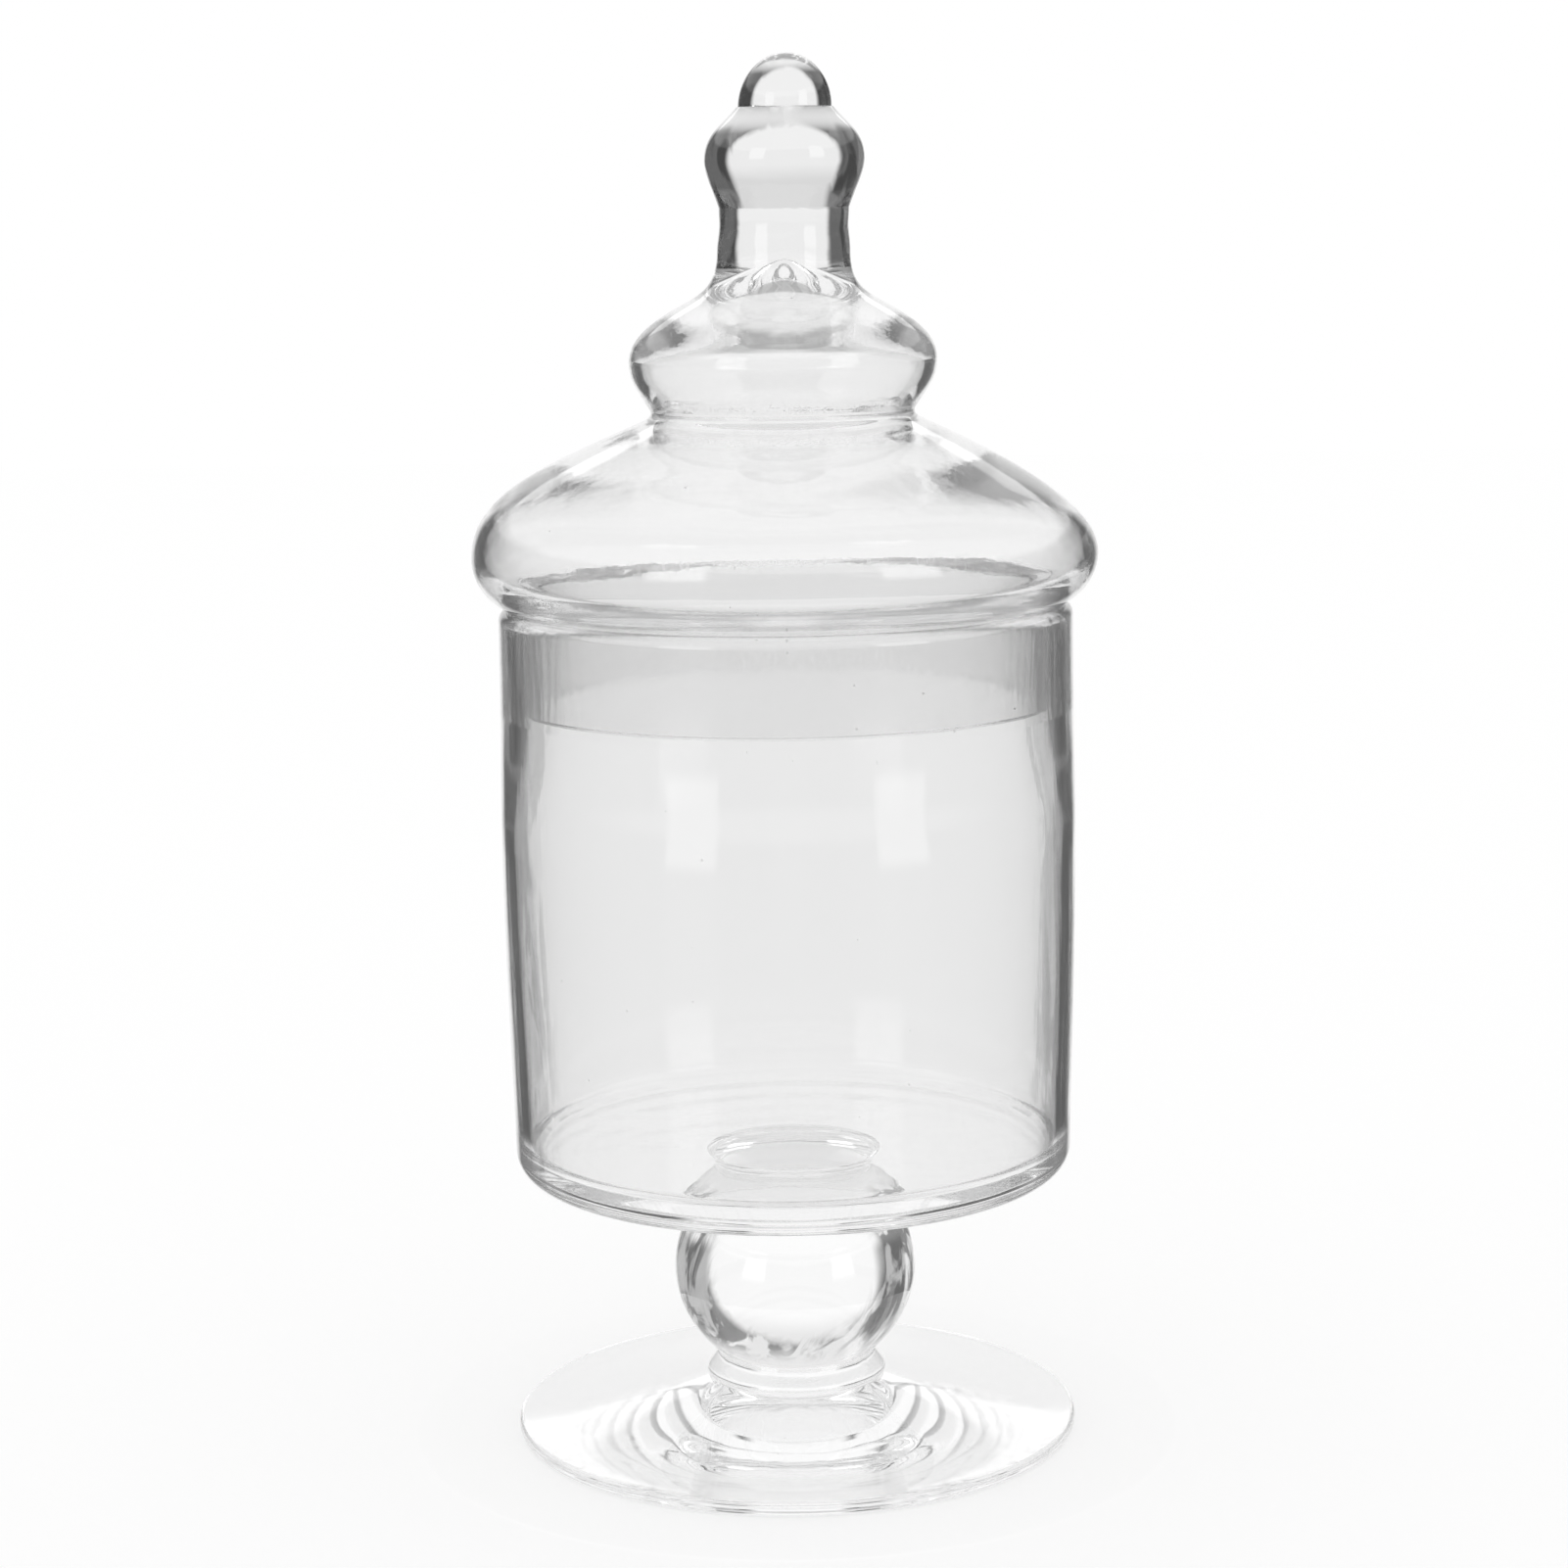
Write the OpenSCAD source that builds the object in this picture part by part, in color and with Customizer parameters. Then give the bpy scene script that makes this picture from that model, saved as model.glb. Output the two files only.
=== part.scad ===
// Footed apothecary jar in clear glass with a ground, lift-off finial lid.
// Every piece is a solid of revolution on the Z axis; the jar stands on Z = 0.

/* [Foot] */
// Diameter of the foot
foot_d = 124.4; // [90:0.2:170]
// Thickness of the foot's edge
foot_edge = 2.8; // [2:0.1:5]
// Height of the seat in the middle of the foot, where the stem joins
foot_rise = 11; // [8:0.1:20]
// How far the underside is domed up in the middle
foot_hollow = 1.6; // [0.5:0.1:6]
// Width of the flat ring that the foot stands on
foot_rest = 3.6; // [2:0.1:10]

/* [Stem] */
// Diameter of the two necks, under and over the knop
neck_d = 35; // [20:0.2:44]
// How far the pad on the foot stands out past the lower neck, all round
pad_over = 2.8; // [1:0.1:8]
// Height of the lower neck, from the foot's seat to the knop
neck_h = 6.1; // [3:0.1:12]
// Diameter of the ball knop
knop_d = 53.5; // [46:0.2:70]
// Full height of the knop's oval, which the necks cut short
knop_h = 49; // [36:0.2:70]
// Height of the upper neck, from the knop to the bowl
top_neck_h = 4.7; // [3:0.1:12]
// How far the upper neck spreads where it joins the bowl, all round
top_pad_over = 1.7; // [0:0.1:6]

/* [Bowl] */
// Outside diameter of the bowl at its fullest
bowl_d = 125.1; // [100:0.2:160]
// Height of the bowl, from its underside to its rim
bowl_h = 124.9; // [90:0.5:160]
// Height above the underside where the bowl is fullest
bowl_full = 72; // [50:1:80]
// How much smaller in radius the bowl is at its lower corner
base_tuck = 1.3; // [0:0.1:3]
// How much smaller in radius the bowl is at its rim
rim_tuck = 0.5; // [0:0.1:2]
// Thickness of the bowl's wall
bowl_wall = 3; // [2:0.1:4.4]
// Thickness of the bowl's floor
bowl_floor = 6; // [3:0.1:8]
// How much lower the floor lies in its middle than at its edge
floor_dish = 1.2; // [0:0.1:2]
// Radius of the bowl's outside lower corner
bowl_corner = 5.2; // [2:0.1:7]
// Radius of the bowl's inside lower corner
floor_corner = 3.6; // [2:0.1:7]
// Thickness of the lip, where the mouth is ground to take the lid
lip_wall = 5.2; // [4.6:0.1:7]

/* [Lid] */
// Gap all round between the lid's collar and the ground mouth
collar_gap = 0.4; // [0.2:0.05:1]
// Gap between the lid's shoulder and the rim, so that the two stay apart
seat_gap = 0.2; // [0.1:0.05:0.5]
// Length of the collar below the lid's shoulder
collar_drop = 21.7; // [12:0.5:32]
// How far the ground part of the mouth runs on below the collar
ground_past = 1.5; // [0.5:0.1:6]
// Thickness of the collar
collar_wall = 2.6; // [1.8:0.1:4]
// How far the lid stands out past the rim, all round
lid_over = 5.4; // [3:0.1:12]
// Height of the lid's fullest ring above its shoulder
lid_roll = 10.5; // [7:0.1:16]
// Height of the dome, from its fullest ring to the neck
dome_h = 31; // [22:0.5:44]
// Thickness of the dome
dome_wall = 2.8; // [2:0.1:3.6]
// Thickness of the dome where it meets the crown's neck
dome_root = 5; // [2.8:0.1:6]
// Diameter of the neck between the dome and the crown
crown_neck_d = 56.7; // [44:0.5:66]
// Diameter of the hollow crown
crown_d = 66; // [58:0.2:80]
// Height of the crown's fullest ring above its neck
crown_low = 10.1; // [7:0.1:14]
// Height of the crown above its fullest ring
crown_up = 23.7; // [18:0.1:32]
// Thickness of the crown's wall
crown_wall = 2.6; // [1.8:0.1:4]
// Solid glass left above the crown's hollow
crown_cap = 2.2; // [1:0.1:5]

/* [Finial] */
// Diameter of the finial's stem at its foot
stem_d = 28.4; // [20:0.1:36]
// Height of the finial's stem
stem_h = 8.9; // [5:0.1:16]
// Diameter of the stem's waist
waist_d = 27.5; // [19:0.1:35]
// Diameter of the finial's bulb
bulb_d = 34.1; // [30:0.1:44]
// Height of the bulb's fullest ring above the stem
bulb_low = 10.2; // [7:0.1:16]
// Height of the bulb above its fullest ring
bulb_up = 10.8; // [7:0.1:16]
// Diameter of the tip
tip_d = 19.9; // [12:0.1:26]
// Height of the tip
tip_h = 11.3; // [7:0.1:18]

/* [Hidden] */

$fn = 96;
steps = 10; // straight stretches in each curve

// Radii
foot_r = foot_d / 2;
neck_r = neck_d / 2;
pad_r = neck_r + pad_over;
knop_r = knop_d / 2;
bowl_r = bowl_d / 2;
base_r = bowl_r - base_tuck;
rim_r = bowl_r - rim_tuck;
mouth_r = rim_r - lip_wall;
lip_r = rim_r - lip_wall / 2; // crest of the rounded lip
collar_r = mouth_r - collar_gap;
collar_in_r = collar_r - collar_wall;
lid_r = rim_r + lid_over;
crown_neck_r = crown_neck_d / 2;
crown_r = crown_d / 2;
stem_r = stem_d / 2;
waist_r = waist_d / 2;
bulb_r = bulb_d / 2;
tip_r = tip_d / 2;

// Rounding of the foot's edge, and the inner edge of the ring that it stands on
edge_round = foot_edge * 0.4;
rest_r = foot_r - edge_round - foot_rest;

// The knop's oval is cut where it is as wide as the necks
knop_cut = acos(neck_r / knop_r);

// Heights, from the table up
knop_z = foot_rise + neck_h;
knop_mid_z = knop_z + knop_h / 2 * sin(knop_cut);
top_neck_z = knop_z + knop_h * sin(knop_cut);
bowl_z = top_neck_z + top_neck_h;
floor_z = bowl_z + bowl_floor;
full_z = bowl_z + bowl_full;
rim_z = bowl_z + bowl_h;
lip_z = rim_z - lip_wall / 2;
seat_z = rim_z + seat_gap;
collar_z = seat_z - collar_drop;
ground_z = collar_z - ground_past;
lid_full_z = seat_z + lid_roll;
crown_neck_z = lid_full_z + dome_h;
crown_full_z = crown_neck_z + crown_low;
stem_z = crown_full_z + crown_up;
bulb_z = stem_z + stem_h;
bulb_full_z = bulb_z + bulb_low;
tip_z = bulb_full_z + bulb_up;

// Points of a cubic curve from a to b, without a itself. It leaves a along the
// handle u and reaches b along the handle v
function curve(a, u, v, b) = [
    for (i = [1:steps])
        let (t = i / steps, s = 1 - t)
        a * s ^ 3 + (a + u) * 3 * s ^ 2 * t + (b - v) * 3 * s * t ^ 2 + b * t ^ 3
];

// Points of an oval with its middle at c, from one angle to another
function oval(c, rx, rz, from, to, n = steps) = [
    for (i = [0:n])
        let (a = from + (to - from) * i / n)
        c + [rx * cos(a), rz * sin(a)]
];

// A solid turned from an outline of [radius, height] points
module turned(outline) {
    rotate_extrude() polygon(outline);
}

// Side of the bowl, lying a distance d inside its outside, from one height down
// past the fullest ring to another. The handles are shares of each stretch
function bowl_side(d, high, low) = concat(
    curve([rim_r - d, high], [0, (full_z - high) * 0.4],
        [0, (full_z - high) * 0.3], [bowl_r - d, full_z]),
    curve([bowl_r - d, full_z], [0, (low - full_z) * 0.4],
        [0.2, (low - full_z) * 0.2], [base_r - d, low])
);

// Back of the dome, from the fullest ring to the neck. It lies d inside the outside,
// and root inside it next to the neck. The dome turns from round to hollow at one
// point, set by shares of its reach and height
dome_turn = [0.634, 0.746];
dome_slope = 25.6; // angle of the dome at that point
function dome_back(d, root) =
    let (
        reach = lid_r - crown_neck_r,
        out = [cos(dome_slope), -sin(dome_slope)],
        turn = [lid_r - reach * dome_turn.x, lid_full_z + dome_h * dome_turn.y]
            - (d + root) / 2 * [sin(dome_slope), cos(dome_slope)]
    )
    concat(
        curve([lid_r - d, lid_full_z], [0, dome_h * 0.33], -out * reach * 0.31, turn),
        curve(turn, -out * reach * 0.4, [0, dome_h * 0.066 + root],
            [crown_neck_r - d, crown_neck_z])
    );

// Foot: a disc with a rounded edge, raised in the middle and domed up underneath
module foot() {
    color("whitesmoke") turned(concat(
        [[0, foot_rise], [pad_r - 0.6, foot_rise]],
        curve([pad_r - 0.6, foot_rise], [9, -2.6], [14, -0.6],
            [foot_r - edge_round, foot_edge]),
        oval([foot_r - edge_round, foot_edge - edge_round],
            edge_round, edge_round, 60, 0, 3),
        oval([foot_r - edge_round, edge_round], edge_round, edge_round, 0, -90, 4),
        [[rest_r, 0]],
        curve([rest_r, 0], [-rest_r * 0.3, foot_hollow * 0.6],
            [-rest_r * 0.4, 0], [0, foot_hollow])
    ));
}

// Lower neck: the pad of glass that holds the knop to the foot
module foot_neck() {
    color("gainsboro") turned(concat(
        [[0, foot_rise], [pad_r - 0.6, foot_rise]],
        curve([pad_r - 0.6, foot_rise], [1.6, neck_h * 0.3],
            [0, neck_h * 0.36], [neck_r, knop_z]),
        [[0, knop_z]]
    ));
}

// Ball knop: a solid ball, cut by the two necks
module ball_knop() {
    color("silver") turned(concat(
        [[0, knop_z]],
        oval([0, knop_mid_z], knop_r, knop_h / 2, -knop_cut, knop_cut, 2 * steps),
        [[0, top_neck_z]]
    ));
}

// Upper neck: joins the knop to the bowl's underside
module bowl_neck() {
    color("gainsboro") turned(concat(
        [[0, top_neck_z], [neck_r, top_neck_z]],
        curve([neck_r, top_neck_z], [0, top_neck_h * 0.4],
            [1.2, top_neck_h * 0.3], [neck_r + top_pad_over, bowl_z]),
        [[0, bowl_z]]
    ));
}

// Bowl: a nearly straight cylinder with a thick floor, and a thicker lip whose
// inside is ground to a true cylinder for the lid
module bowl() {
    outside = bowl_side(0, lip_z, bowl_z + bowl_corner);
    inside = bowl_side(bowl_wall, lip_z, floor_z + floor_corner);
    taper = ground_z - full_z; // from the ground part down to the full wall
    floor_r = base_r - bowl_wall - floor_corner;
    color("lightgray") turned(concat(
        [[0, bowl_z]],
        oval([base_r - bowl_corner, bowl_z + bowl_corner],
            bowl_corner, bowl_corner, -90, 0, 6),
        reversed(outside),
        oval([lip_r, lip_z], lip_wall / 2, lip_wall / 2, 0, 180, 12),
        [[mouth_r, ground_z]],
        curve([mouth_r, ground_z], [0, -taper * 0.45], [0, -taper * 0.4],
            [bowl_r - bowl_wall, full_z]),
        [for (p = inside) if (p.y < full_z) p],
        oval([floor_r, floor_z + floor_corner], floor_corner, floor_corner, 0, -90, 6),
        curve([floor_r, floor_z], [-floor_r * 0.26, -floor_dish * 0.7],
            [-floor_r * 0.5, 0], [0, floor_z - floor_dish])
    ));
}

// A list of points in the other order, without its first point, which the
// neighbouring stretch already has
function reversed(points) = [for (i = [len(points) - 2:-1:0]) points[i]];

// Collar: the ground sleeve of the lid, which drops into the mouth
module lid_collar() {
    edge = 0.5; // bevel of the ground lower edge
    color("darkgray") turned([
        [collar_in_r, seat_z], [collar_in_r, collar_z + edge],
        [collar_in_r + edge, collar_z], [collar_r - edge, collar_z],
        [collar_r, collar_z + edge], [collar_r, seat_z]
    ]);
}

// Dome: rolls out over the rim from the shoulder that it rests on, and closes in
// to the crown's neck
module lid_dome() {
    inner = dome_back(dome_wall, dome_root);
    color("lightgray") turned(concat(
        [[collar_in_r, seat_z], [lip_r, seat_z]],
        curve([lip_r, seat_z], [2.4, 0], [0, lid_roll * 0.6], [lid_r, lid_full_z]),
        dome_back(0, 0),
        [for (i = [len(inner) - 1:-1:0]) inner[i]],
        [[lid_r - dome_wall, lid_full_z]],
        curve([lid_r - dome_wall, lid_full_z], [0, -lid_roll * 0.6],
            [-0.3, -lid_roll * 0.2], [collar_in_r, seat_z])
    ));
}

// Crown: the hollow bulge over the dome. Its hollow runs up to a small peak
module lid_crown() {
    throat_r = crown_neck_r - dome_wall;
    peak_z = stem_z - crown_cap;
    roof = [stem_r * 0.72, peak_z - (peak_z - crown_full_z) * 0.34];
    turn = [stem_r + (crown_r - stem_r) * 0.39, crown_full_z + crown_up * 0.53];
    color("gainsboro") turned(concat(
        [[throat_r, crown_neck_z], [crown_neck_r, crown_neck_z]],
        curve([crown_neck_r, crown_neck_z], [1.2, crown_low * 0.24],
            [0, crown_low * 0.44], [crown_r, crown_full_z]),
        curve([crown_r, crown_full_z], [0, crown_up * 0.17],
            [-9.6, 5.1], turn),
        curve(turn, [-3.7, 2], [0, crown_up * 0.32], [stem_r, stem_z]),
        [[0, stem_z], [0, peak_z]],
        curve([0, peak_z], [2, -0.2], [3.4, -2.6], roof),
        curve(roof, [7, -5.2], [0, -crown_up * 0.2], [crown_r - crown_wall, crown_full_z]),
        curve([crown_r - crown_wall, crown_full_z], [0, -crown_low * 0.44],
            [-0.8, -crown_low * 0.26], [throat_r, crown_neck_z])
    ));
}

// Finial's stem: solid, a little waisted
module finial_stem() {
    waist = [waist_r, stem_z + stem_h * 0.62];
    color("whitesmoke") turned(concat(
        [[0, stem_z], [stem_r, stem_z]],
        curve([stem_r, stem_z], [0, stem_h * 0.2], [0, stem_h * 0.2], waist),
        curve(waist, [0, stem_h * 0.1], [0, stem_h * 0.1], [waist_r + 0.15, bulb_z]),
        [[0, bulb_z]]
    ));
}

// Finial's bulb: a solid gather, joined to the stem by a visible seam
module finial_bulb() {
    color("silver") turned(concat(
        [[0, bulb_z], [waist_r + 0.15, bulb_z]],
        curve([waist_r + 0.15, bulb_z], [1.1, bulb_low * 0.34],
            [0, bulb_low * 0.3], [bulb_r, bulb_full_z]),
        curve([bulb_r, bulb_full_z], [0, bulb_up * 0.5],
            [-2.6, bulb_up * 0.3], [tip_r + 0.4, tip_z]),
        [[0, tip_z]]
    ));
}

// Finial's tip: a small rounded button on the bulb
module finial_tip() {
    color("whitesmoke") turned(concat(
        [[0, tip_z]],
        oval([0, tip_z], tip_r, tip_h, 0, 90, 12)
    ));
}

foot();
foot_neck();
ball_knop();
bowl_neck();
bowl();
lid_collar();
lid_dome();
lid_crown();
finial_stem();
finial_bulb();
finial_tip();
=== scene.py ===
import math

import bpy
from mathutils import Matrix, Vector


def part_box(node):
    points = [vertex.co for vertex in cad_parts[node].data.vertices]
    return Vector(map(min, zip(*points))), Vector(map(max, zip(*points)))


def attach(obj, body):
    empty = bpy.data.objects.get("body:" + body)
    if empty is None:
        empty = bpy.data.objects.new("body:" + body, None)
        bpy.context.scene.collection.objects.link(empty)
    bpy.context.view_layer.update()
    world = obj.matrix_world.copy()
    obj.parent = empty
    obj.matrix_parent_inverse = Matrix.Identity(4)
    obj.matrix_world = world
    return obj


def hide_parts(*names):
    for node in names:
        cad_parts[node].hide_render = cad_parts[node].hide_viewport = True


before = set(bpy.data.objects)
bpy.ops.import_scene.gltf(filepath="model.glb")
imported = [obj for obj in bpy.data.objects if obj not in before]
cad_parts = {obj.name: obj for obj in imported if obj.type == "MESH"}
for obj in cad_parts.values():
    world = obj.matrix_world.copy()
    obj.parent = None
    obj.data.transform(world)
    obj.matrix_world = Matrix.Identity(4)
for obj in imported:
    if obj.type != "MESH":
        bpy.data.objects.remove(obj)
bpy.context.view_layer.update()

# The camera: a long lens about three quarters of a metre in front of the jar, a little over the
# height of its rim, looking down on it and turned very slightly on its own axis.
camera_distance = 0.755
camera_height = 0.269
camera_side = -0.0009
camera_pitch = math.radians(9.4)
camera_roll = math.radians(-0.85)

camera_data = bpy.data.cameras.new("camera")
camera_data.lens = 80.5
camera_data.sensor_width = 36.0
camera = bpy.data.objects.new("camera", camera_data)
camera.location = (camera_side, -camera_distance, camera_height)
camera.rotation_mode = "XYZ"
upright = Matrix.Rotation(math.pi / 2 - camera_pitch, 3, "X")
camera.rotation_euler = (upright @ Matrix.Rotation(camera_roll, 3, "Z")).to_euler()
bpy.context.scene.collection.objects.link(camera)
bpy.context.scene.camera = camera

# The studio: a white tent all round the jar, a pale ceiling, grey flags at the sides and two tall
# soft boxes in front. Clear glass needs them all: the tent shows through it, the flags show at the
# flanks of a thick solid, the dark beside the tent gives the walls their edges, and the boxes give
# them shine.
box_turn = (math.radians(180 - 47), math.radians(180 + 40))  # round from the back of the tent
box_half_width = math.radians(11)
box_bottom, box_top = -0.34, 0.46  # sines of their lowest and highest elevation
box_light = 2.2
tent_light = 1.0
room_dark = 0.14
ceiling_light = 0.5
solid_ceiling = 0.82  # the ceiling as a thick solid shows it
flags = ((65, 31), (-45, 13), (-157, 34))  # the middle and half width of each, in degrees
flag_light = 0.5
front_light = 0.36
strip_light = 2.0  # over the tent's back
tent_half_width = math.radians(20)  # of its back, as the outside of the glass mirrors it
narrow_half_width = math.radians(14)  # and as the inside of a wall does
strip_half_width = math.radians(26)
front_half_width = math.radians(140)


def math_node(tree, operation, a, b=0.0, c=0.0):
    """Output of a new Math node. Each input is a number or another node's output."""
    node = tree.nodes.new("ShaderNodeMath")
    node.operation = operation
    for socket, value in zip(node.inputs, (a, b, c)):
        if isinstance(value, (int, float)):
            socket.default_value = value
        else:
            tree.links.new(value, socket)
    return node.outputs[0]


def step(tree, value, start, end):
    """0 before start, 1 after end, and smooth between."""
    node = tree.nodes.new("ShaderNodeMapRange")
    node.interpolation_type = "SMOOTHSTEP"
    tree.links.new(value, node.inputs["Value"])
    node.inputs["From Min"].default_value = start
    node.inputs["From Max"].default_value = end
    return node.outputs["Result"]


def studio_world():
    """A world whose look depends on the direction, and on how a ray has come through the glass."""
    world = bpy.data.worlds.new("studio")
    bpy.context.scene.world = world
    world.use_nodes = True
    tree = world.node_tree
    tree.nodes.clear()

    def blend(share, a, b):
        """a where share is 0, b where it is 1."""
        left = math_node(tree, "SUBTRACT", 1.0, share)
        return math_node(tree, "ADD", math_node(tree, "MULTIPLY", a, left),
                         math_node(tree, "MULTIPLY", b, share))

    place = tree.nodes.new("ShaderNodeTexCoord")
    split = tree.nodes.new("ShaderNodeSeparateXYZ")
    tree.links.new(place.outputs["Generated"], split.inputs[0])
    x, y, z = split.outputs
    squares = math_node(tree, "ADD", math_node(tree, "MULTIPLY", y, y), 1e-6)
    flat = math_node(tree, "SQRT", math_node(tree, "MULTIPLY_ADD", x, x, squares))

    def toward(turn):
        """Cosine of the level angle from a compass direction, measured from +Y round to +X."""
        along = math_node(tree, "ADD", math_node(tree, "MULTIPLY", x, math.sin(turn)),
                          math_node(tree, "MULTIPLY", y, math.cos(turn)))
        return math_node(tree, "DIVIDE", along, flat)

    def panel(turn, half_width, bottom, top, soft=0.03):
        """Mask of an upright panel: its middle, half its width, and its lower and upper edge."""
        widest, narrowest = math.cos(half_width + soft), math.cos(half_width - soft)
        across = step(tree, toward(turn), widest, narrowest)
        above = step(tree, z, bottom - soft, bottom + soft)
        below = math_node(tree, "SUBTRACT", 1.0, step(tree, z, top - soft, top + soft))
        return math_node(tree, "MULTIPLY", across, math_node(tree, "MULTIPLY", above, below))

    boxes = 0.0
    for turn in box_turn:
        boxes = math_node(tree, "MAXIMUM", boxes, panel(turn, box_half_width, box_bottom, box_top))
    boxes = math_node(tree, "MULTIPLY", boxes, blend(step(tree, z, -0.06, 0.1), 0.03, 1.0))
    sky = step(tree, z, 0.3, 0.38)
    low_sky = step(tree, z, 0.17, 0.25)
    ground = math_node(tree, "SUBTRACT", 1.0, step(tree, z, -0.34, -0.28))

    # What shows through the glass: the tent and the table, with the ceiling over them. A thick
    # solid, which is passed through in one piece, shows a paler ceiling and the flags.
    through = blend(step(tree, z, 0.4, 0.6), tent_light, ceiling_light)
    flag = 0.0
    for turn, half_width in flags:
        screen = panel(math.radians(turn), math.radians(half_width), -0.34, 0.4, 0.05)
        flag = math_node(tree, "MAXIMUM", flag, screen)
    solid = blend(step(tree, z, 0.04, 0.24), tent_light, solid_ceiling)
    solid = blend(flag, solid, flag_light)
    # What the glass mirrors from outside: the tent's back, the soft boxes and the room.
    back = panel(0.0, tent_half_width, -2.0, 0.6, 0.08)
    outside = blend(math_node(tree, "MAXIMUM", back, sky), room_dark, tent_light)
    outside = blend(boxes, outside, box_light)
    outside = blend(panel(0.0, strip_half_width, 0.34, 0.46, 0.02), outside, strip_light)
    # What is mirrored inside a wall: the dark at either side of a narrow tent, and the pale front.
    narrow = panel(0.0, narrow_half_width, -2.0, 0.4, 0.05)
    pale = math_node(tree, "MAXIMUM", math_node(tree, "MAXIMUM", narrow, ground), low_sky)
    inside = blend(pale, room_dark, tent_light)
    front = panel(math.pi, front_half_width, -2.0, 2.0, 0.1)
    low_front = math_node(tree, "MULTIPLY", front, math_node(tree, "SUBTRACT", 1.0, low_sky))
    inside = blend(low_front, inside, front_light)
    inside = blend(boxes, inside, box_light)

    path = tree.nodes.new("ShaderNodeLightPath")
    passed = math_node(tree, "MINIMUM", path.outputs["Transmission Depth"], 1.0)
    mirrored = math_node(tree, "MINIMUM", path.outputs["Glossy Depth"], 1.0)
    diffused = math_node(tree, "MINIMUM", path.outputs["Diffuse Depth"], 1.0)
    glossy = blend(passed, outside, inside)
    one_piece = math_node(tree, "LESS_THAN", path.outputs["Transmission Depth"], 2.5)
    seen = blend(mirrored, blend(one_piece, through, solid), glossy)
    seen = blend(path.outputs["Is Camera Ray"], seen, tent_light)
    seen = blend(diffused, seen, tent_light)
    light = tree.nodes.new("ShaderNodeBackground")
    light.inputs["Color"].default_value = (1, 1, 1, 1)
    tree.links.new(seen, light.inputs["Strength"])
    out = tree.nodes.new("ShaderNodeOutputWorld")
    tree.links.new(light.outputs[0], out.inputs["Surface"])


studio_world()
bpy.context.scene.view_settings.view_transform = "Standard"
# Light runs a long way inside the lid's roll and the lip before it gets out.
bpy.context.scene.cycles.max_bounces = 96
bpy.context.scene.cycles.transmission_bounces = 96
bpy.context.scene.cycles.glossy_bounces = 96
bpy.context.scene.cycles.transparent_max_bounces = 32

# The table: a plain white sheet. The glass sees the tent in its place, as on a lit table, but for
# the round mat of it under the foot, and it takes only the faintest shadow.
table_size = 6.0
mat_radius = 0.085
shadow_share = 0.3

bpy.ops.object.select_all(action="DESELECT")
bpy.ops.mesh.primitive_plane_add(size=table_size, location=(0, 0, -0.0004))
table = bpy.context.object
table.name = "table"
table.visible_transmission = False
table.visible_glossy = False
bpy.ops.mesh.primitive_circle_add(vertices=96, radius=mat_radius, fill_type="NGON",
                                  location=(0, 0, -0.0002))
mat = bpy.context.object
mat.name = "mat"
sheet = bpy.data.materials.new("white_sheet")
sheet.use_nodes = True
tree = sheet.node_tree
tree.nodes.clear()
glow = tree.nodes.new("ShaderNodeEmission")
glow.inputs["Color"].default_value = (1, 1, 1, 1)
glow.inputs["Strength"].default_value = tent_light
paper = tree.nodes.new("ShaderNodeBsdfDiffuse")
paper.inputs["Color"].default_value = (1, 1, 1, 1)
both = tree.nodes.new("ShaderNodeMixShader")
both.inputs[0].default_value = shadow_share
tree.links.new(glow.outputs[0], both.inputs[1])
tree.links.new(paper.outputs[0], both.inputs[2])
out = tree.nodes.new("ShaderNodeOutputMaterial")
tree.links.new(both.outputs[0], out.inputs["Surface"])
for stage in (table, mat):
    stage.data.materials.append(sheet)


# The foot: a disc of clear glass spun out flat while hot, with a rounded edge. It is raised to a
# seat in the middle and domed up underneath, so that the jar stands on its outer ring, which the
# shelf has scratched.
foot_edge = 0.0028
foot_round = foot_edge * 0.4
foot_rest = 0.0036
foot_hollow = 0.0016
foot_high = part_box("foot")[1]
foot_radius = foot_high.x
seat_height = foot_high.z
pad_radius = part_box("foot_neck")[1].x
rest_radius = foot_radius - foot_round - foot_rest


def curve(start, leave, reach, end, steps=12):
    """Points of a cubic curve, without its first. It leaves start along the handle leave and
    reaches end along the handle reach. A point is a radius and a height."""
    points = []
    for i in range(1, steps + 1):
        t = i / steps
        s = 1 - t
        points.append(tuple(
            a * s ** 3 + 3 * (a + u) * s * s * t + 3 * (b - v) * s * t * t + b * t ** 3
            for a, u, v, b in zip(start, leave, reach, end)))
    return points


def oval(middle, across, up, start, end, steps=12):
    """Points of an oval round a middle, from one angle in degrees to another."""
    turns = [math.radians(start + (end - start) * i / steps) for i in range(steps + 1)]
    return [(middle[0] + across * math.cos(a), middle[1] + up * math.sin(a)) for a in turns]


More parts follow.
